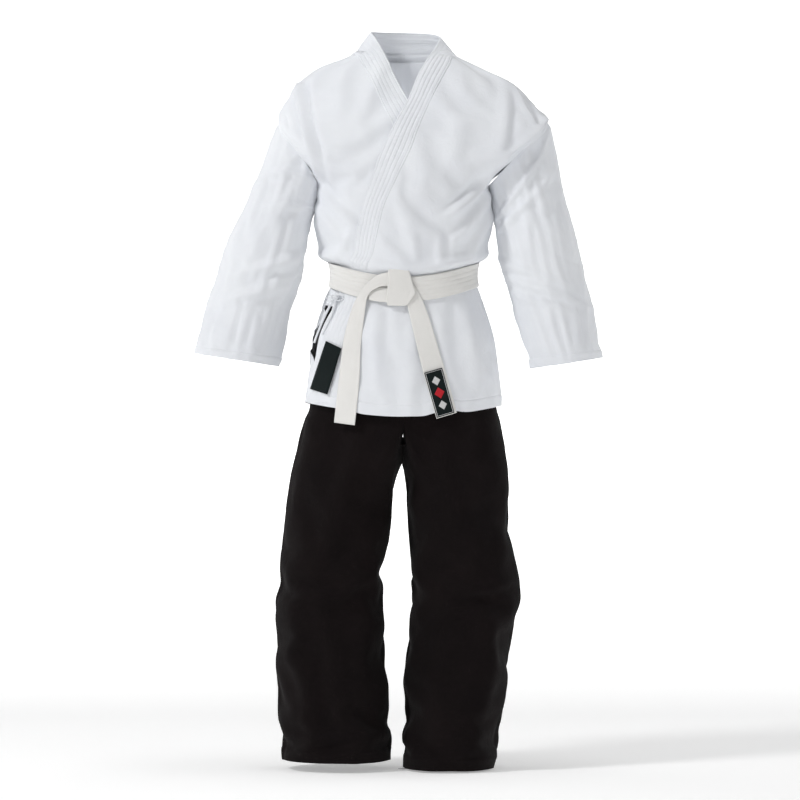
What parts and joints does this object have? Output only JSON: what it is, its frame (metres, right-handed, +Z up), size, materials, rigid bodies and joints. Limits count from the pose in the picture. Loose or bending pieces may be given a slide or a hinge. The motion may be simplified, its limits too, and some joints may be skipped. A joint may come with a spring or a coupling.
{
  "type": "martial arts uniform",
  "caption": "Wrap-over white jacket with standing neck band, tied white belt and loose black trousers, shaped as if worn.",
  "frame": {"origin": "the point inside the base of the neck where a form or a hanger holds the jacket", "axes": "+Z up, towards the neck; the front faces -Y; the wearer's left is at +X"},
  "size_m": [0.752, 0.238, 1.359],
  "materials": {
    "white_cotton": "matt plain-weave cotton canvas",
    "grey_lining": "matt cotton lining",
    "belt_cotton": "matt cotton webbing with rows of stitching",
    "black_cotton": "matt black cotton canvas",
    "dark_label": "woven satin label",
    "elastic": "ribbed elastic",
    "nickel": "plated eyelet"
  },
  "bodies": {
    "jacket": {"jacket_back_right": "white_cotton", "jacket_back_left": "white_cotton", "jacket_front_right": "white_cotton", "jacket_front_left": "white_cotton", "lapel_right": "white_cotton", "lapel_left": "white_cotton", "neck_band": "white_cotton", "hem_facing_back": "white_cotton", "hem_facing_front_right": "white_cotton", "hem_facing_front_left": "white_cotton", "yoke_lining": "grey_lining", "side_tie_knot": "white_cotton", "side_tie_tail_back": "white_cotton", "side_tie_tail_front": "white_cotton", "belt_wrap_inner": "belt_cotton", "belt_wrap_outer": "belt_cotton", "belt_knot_cross": "belt_cotton", "belt_knot_loop": "belt_cotton", "belt_knot_side": "belt_cotton", "lapel_patch": "dark_label"},
    "right_sleeve": {"sleeve_right": "white_cotton", "cuff_facing_right": "white_cotton"},
    "left_sleeve": {"sleeve_left": "white_cotton", "cuff_facing_left": "white_cotton"},
    "right_tail": {"belt_tail_right": "belt_cotton"},
    "left_tail": {"belt_tail_left": "belt_cotton", "belt_label": "dark_label"},
    "trousers": {"trouser_hip_right": "black_cotton", "trouser_hip_left": "black_cotton", "trouser_waistband": "black_cotton", "waist_elastic": "elastic", "eyelet_right": "nickel", "eyelet_left": "nickel", "crotch_gusset": "black_cotton"},
    "right_leg": {"leg_front_right": "black_cotton", "leg_back_right": "black_cotton", "leg_hem_right": "black_cotton"},
    "left_leg": {"leg_front_left": "black_cotton", "leg_back_left": "black_cotton", "leg_hem_left": "black_cotton"}
  },
  "joints": [
    {"name": "right_sleeve_raise", "type": "hinge", "parent": "jacket", "child": "right_sleeve", "pos_m": [-0.22812, 0, -0.11109], "axis": [0, 1, 0], "range_deg": [0, 65]},
    {"name": "left_sleeve_raise", "type": "hinge", "parent": "jacket", "child": "left_sleeve", "pos_m": [0.2681, 0, -0.1111], "axis": [0, -1, 0], "range_deg": [0, 65]},
    {"name": "right_tail_swing", "type": "hinge", "parent": "jacket", "child": "right_tail", "pos_m": [-0.079, -0.1018, -0.434], "axis": [-1, 0, 0], "range_deg": [0, 70]},
    {"name": "left_tail_swing", "type": "hinge", "parent": "jacket", "child": "left_tail", "pos_m": [0.022, -0.1112, -0.438], "axis": [-1, 0, 0], "range_deg": [0, 70]},
    {"name": "trousers_pull_off", "type": "slide", "parent": "jacket", "child": "trousers", "axis": [0, 0, -1], "range_m": [0, 0.35]},
    {"name": "right_leg_swing", "type": "hinge", "parent": "trousers", "child": "right_leg", "pos_m": [-0.1, -0.1003, -0.7], "axis": [-1, 0, 0], "range_deg": [0, 70]},
    {"name": "left_leg_swing", "type": "hinge", "parent": "trousers", "child": "left_leg", "pos_m": [0.1, -0.1003, -0.7], "axis": [-1, 0, 0], "range_deg": [0, 70]}
  ]
}
